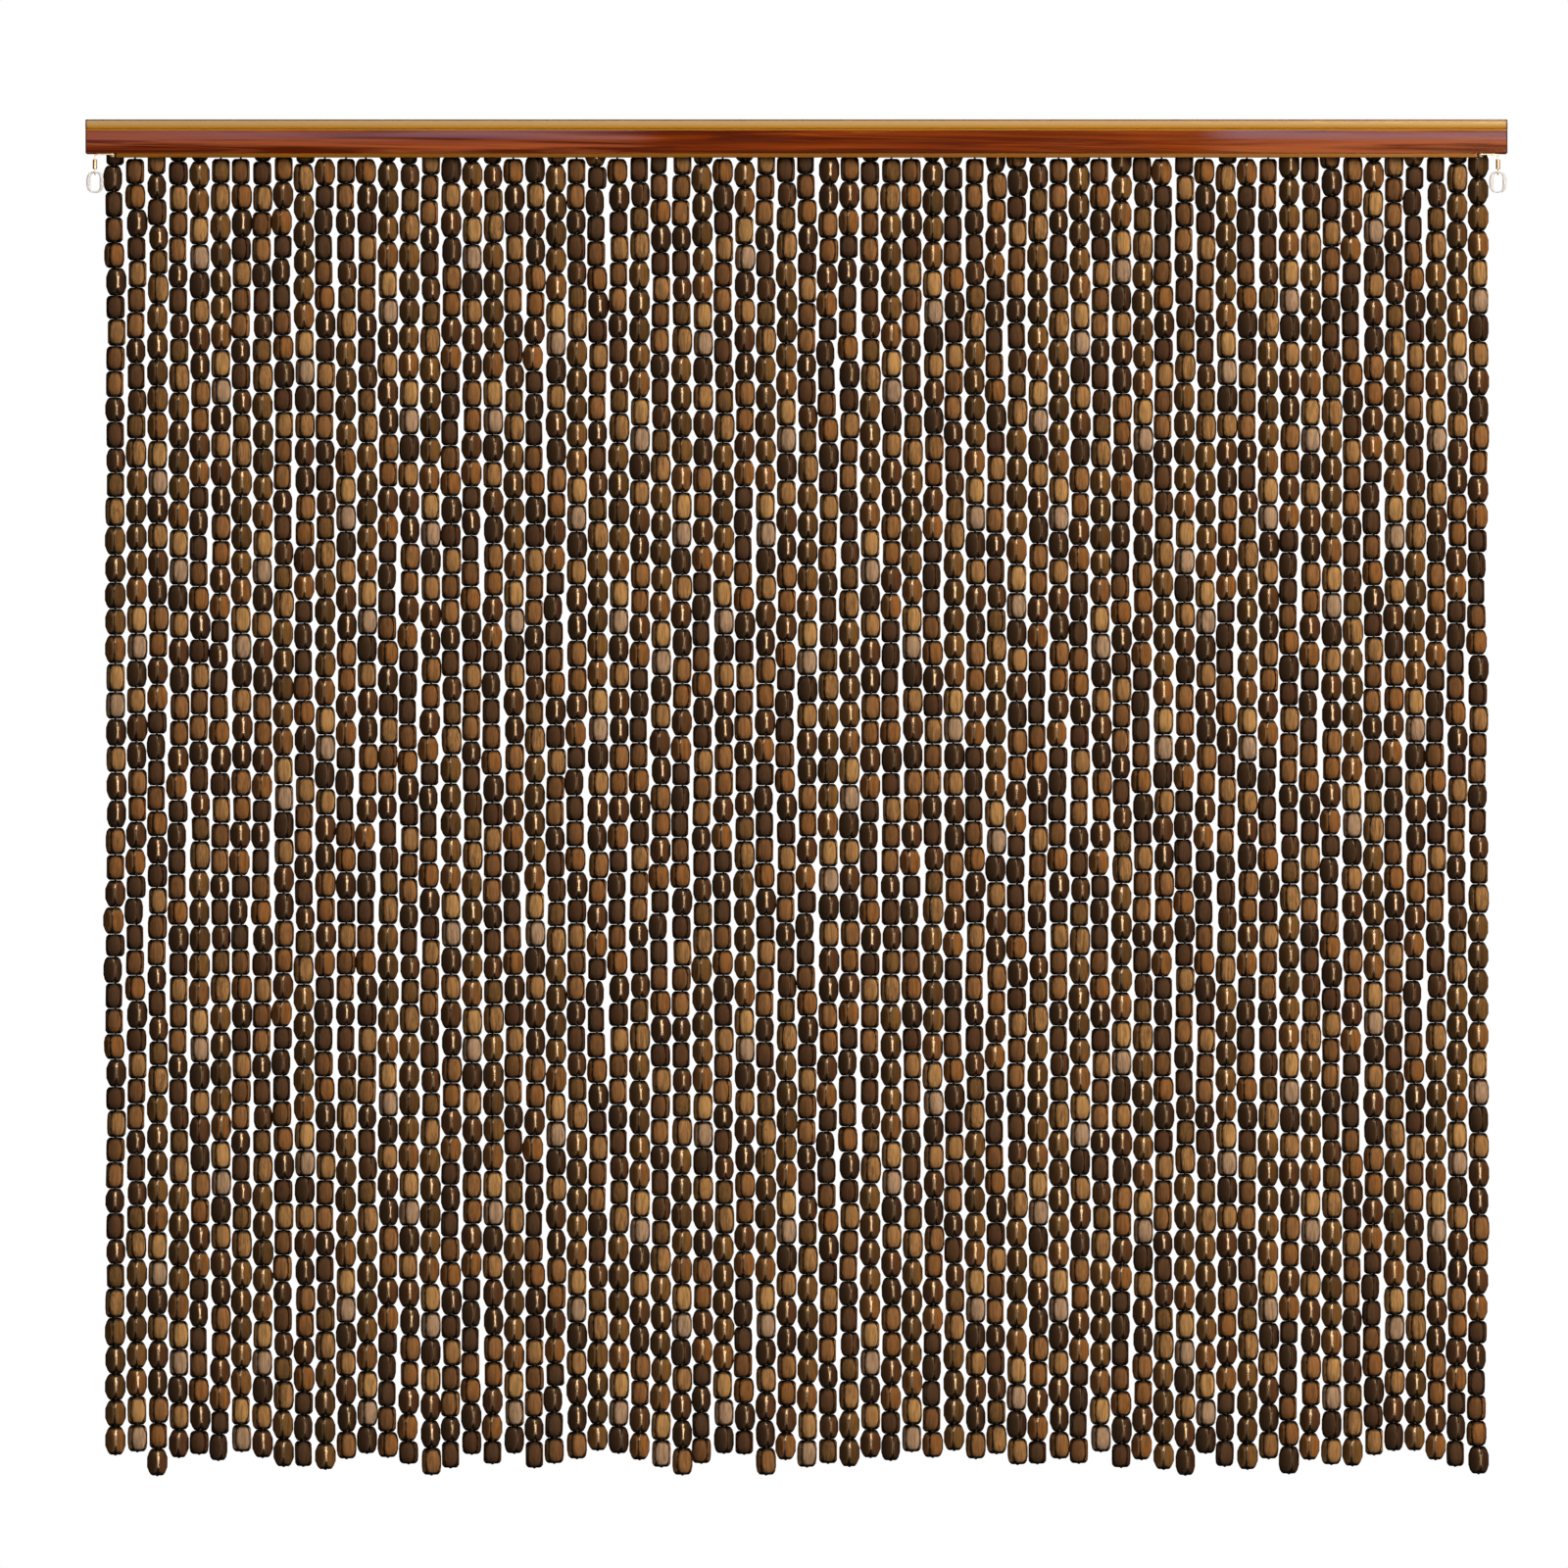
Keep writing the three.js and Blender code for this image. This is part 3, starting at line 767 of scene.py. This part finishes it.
def tube(route, radius, sides):
    # point of the route + radius (cos a N + sin a B): N is a slanted direction made square
    # to the route and B is the route's direction crossed with N
    along = np.gradient(route, axis=0)
    along /= np.linalg.norm(along, axis=1, keepdims=True)
    slant = np.ones(3) / np.sqrt(3)
    n = slant - (along @ slant)[:, None] * along
    n /= np.linalg.norm(n, axis=1, keepdims=True)
    b = np.cross(along, n)
    a = np.linspace(0, 2 * np.pi, sides, endpoint=False)[None, :, None]
    return route[:, None] + radius * (np.cos(a) * n[:, None] + np.sin(a) * b[:, None])


def turned(profile, centre, sides):
    # each (radius, height) of the profile is carried round an upright axis
    radius, height = np.array(profile, dtype=float).T[:, :, None]
    a = np.linspace(0, 2 * np.pi, sides, endpoint=False)
    ring = np.stack([radius * np.cos(a), radius * np.sin(a), height + 0 * a], axis=-1)
    return ring + np.array([centre[0], centre[1], 0.0])


def ringPoints(side):
    # the centre line is a superellipse, w sgn(cos t) |cos t|^(2/n) and the same with sin t;
    # the bar's half thickness goes from thin to thick with cos^2 t
    t, a = np.meshgrid(*(np.linspace(0, 2 * np.pi, count, endpoint=False)
                         for count in hanger["ringPoints"]), indexing="ij")
    thin, thick = hanger["ringBar"]
    half = thin + (thick - thin) * np.cos(t) ** 2
    width, height = hanger["ring"]
    power = 2 / hanger["ringSquareness"]
    lineX = (width / 2 - thick) * np.sign(np.cos(t)) * np.abs(np.cos(t)) ** power
    lineZ = (height / 2 - thin) * np.sign(np.sin(t)) * np.abs(np.sin(t)) ** power
    y = -hanger["tackDepth"] - hanger["eye"] + hanger["hook"] + half * np.sin(a)
    return np.stack([side * hanger["dropX"] + lineX + half * np.cos(a) * np.cos(t), y,
                     hanger["ringTop"] - height / 2 + lineZ + half * np.cos(a) * np.sin(t)],
                    axis=-1)


def makeHanger(side, sideName, brass, copper, plastic):
    route = wireRoute(side)
    wire = tube(route, hanger["wire"] / 2, 12)
    makePiece(f"{sideName}_fine_wire", wire, cappedFaces(len(route), 12), brass,
              f"{sideName}_hanger_wire")

    railBottom = -rail["height"] / 2
    headTop = hanger["wireHeight"] - hanger["wire"] / 2 - hanger["clearance"]
    head, shank = hanger["tackHead"] / 2, hanger["tackShank"] / 2
    shankEnd, tip = hanger["tackReach"]
    profile = [(0.25, headTop - hanger["tackDrop"])]
    profile += [(head * part, headTop - below) for part, below in hanger["tackDome"]]
    profile += [(head - 0.1, headTop), (shank, headTop), (shank, railBottom + shankEnd),
                (0.1, railBottom + tip)]
    tack = turned(profile, (side * hanger["tackX"], -hanger["tackDepth"]), 20)
    makePiece(f"{sideName}_fine_tack", tack, cappedFaces(len(profile), 20), brass,
              f"{sideName}_tack")

    low, high, outer = hanger["sleeveBottom"], hanger["sleeveTop"], hanger["sleeve"] / 2
    bore = hanger["wire"] / 2 + hanger["clearance"]
    profile = [(bore, low), (outer - 0.3, low), (outer - 0.08, low + 0.1), (outer, low + 0.3),
               (outer, high - 0.3), (outer - 0.08, high - 0.1), (outer - 0.3, high),
               (bore, high)]
    wireDepth = hanger["tackDepth"] + hanger["eye"]
    sleeve = turned(profile, (side * hanger["dropX"], -wireDepth), 24)
    makePiece(f"{sideName}_fine_sleeve", sleeve, loopFaces(len(profile), 24), copper,
              f"{sideName}_sleeve")

    makePiece(f"{sideName}_fine_ring", ringPoints(side), loopFaces(*hanger["ringPoints"]),
              plastic, f"{sideName}_ring", 80)


brass = makeMetal("hangerBrass", *hanger["brass"])
copper = makeMetal("sleeveCopper", *hanger["copper"])
plastic = makeClearPlastic()
makeHanger(-1, "left", brass, copper, plastic)
makeHanger(1, "right", brass, copper, plastic)
print("hangers made")

studio = {
    "floor": -2.2,
    "floorRadius": 1.6,
    "floorDepth": 20.0,     # mm, and below it how far the rim is rounded in and down
    "floorRim": ((10, 20), (0, 10), (3, 3), (10, 0)),
    "floorColour": "f2f1ee",
    "ambient": 0.02,
    "centre": (-0.0079, -0.0185, -0.4099),
    "lens": 400,
    "frameWidth": 0.9924,
    # watts, width and height, degrees to the right and up, metres away, colour, and whether
    # the lamp lights the matt part of a surface and shows in its gloss
    "lamps": {
        "key": (570.0, (2.4, 3.0), (55, 28, 6.0), (1.0, 0.95, 0.88), True, False),
        "streak": (2000.0, (1.45, 10.0), (15.5, 20, 8.0), (1.0, 0.78, 0.56), False, True),
        "leftRim": (12.0, (0.8, 4.0), (-72, 8, 6.0), (1.0, 0.85, 0.7), False, True),
        "fill": (52.0, (4.0, 3.0), (-35, 15, 6.0), (1.0, 1.0, 1.0), True, False),
        "back": (330.0, (3.0, 3.0), (165, 40, 6.0), (1.0, 0.97, 0.93), True, False),
    },
}


def makeFloor():
    # a disc whose points are radius (cos a, sin a), with a rounded rim
    radius = studio["floorRadius"] / mm
    rim = [(radius - inward, -down) for inward, down in studio["floorRim"]]
    profile = [(1.0, -studio["floorDepth"]), *rim, (1.0, 0.0)]
    points = turned(profile, (0, 0), 96) * mm + np.array([0, 0, studio["floor"]])
    mesh = bpy.data.meshes.new("studio_floor")
    mesh.from_pydata(points.reshape(-1, 3).tolist(), [], cappedFaces(len(profile), 96))
    f = Finish("paleFloor")
    f.done(Base_Color=linear(studio["floorColour"]), Roughness=0.8)
    mesh.materials.append(f.material)
    floor = bpy.data.objects.new("studio_floor", mesh)
    floor.visible_glossy = False
    bpy.context.scene.collection.objects.link(floor)


def direction(degreesRight, degreesUp):
    a, e = np.radians([degreesRight, degreesUp])
    return np.array([np.sin(a) * np.cos(e), -np.cos(a) * np.cos(e), np.sin(e)])


def makeLamp(name, watts, size, aimedFrom, colour, matt, gloss):
    light = bpy.data.lights.new(name, "AREA")
    light.shape = "RECTANGLE"
    light.size, light.size_y = size
    light.energy = watts
    light.color = colour
    lamp = bpy.data.objects.new(name, light)
    away = direction(*aimedFrom[:2])
    lamp.location = np.array(studio["centre"]) + away * aimedFrom[2]
    lamp.rotation_euler = mathutils.Vector(away).to_track_quat("Z", "Y").to_euler()
    lamp.visible_diffuse, lamp.visible_glossy = matt, gloss
    bpy.context.scene.collection.objects.link(lamp)


def makeWorld():
    # the backdrop is white to the camera and dim as a light
    world = bpy.data.worlds.new("studioWorld")
    world.use_nodes = True
    nodes, links = world.node_tree.nodes, world.node_tree.links
    background = nodes["Background"]
    background.inputs["Color"].default_value = (1.0, 1.0, 1.0, 1.0)
    seen = nodes.new("ShaderNodeLightPath")
    strength = nodes.new("ShaderNodeMapRange")
    strength.inputs["To Min"].default_value = studio["ambient"]
    strength.inputs["To Max"].default_value = 1.0
    links.new(seen.outputs["Is Camera Ray"], strength.inputs["Value"])
    links.new(strength.outputs["Result"], background.inputs["Strength"])
    bpy.context.scene.world = world


def makeCamera():
    # distance = half the frame's width / (half the sensor / lens)
    camera = bpy.data.cameras.new("studioCamera")
    camera.lens = studio["lens"]
    camera.sensor_width = 36
    camera.clip_end = 50
    viewer = bpy.data.objects.new("studioCamera", camera)
    away = studio["frameWidth"] / 2 / (18 / studio["lens"])
    viewer.location = np.array(studio["centre"]) - np.array([0, away, 0])
    viewer.rotation_euler = (np.pi / 2, 0, 0)
    bpy.context.scene.collection.objects.link(viewer)
    bpy.context.scene.camera = viewer


makeFloor()
makeWorld()
makeCamera()
for name, lamp in studio["lamps"].items():
    makeLamp(name, *lamp)
bpy.context.scene.view_settings.view_transform = "Standard"
print("studio set")
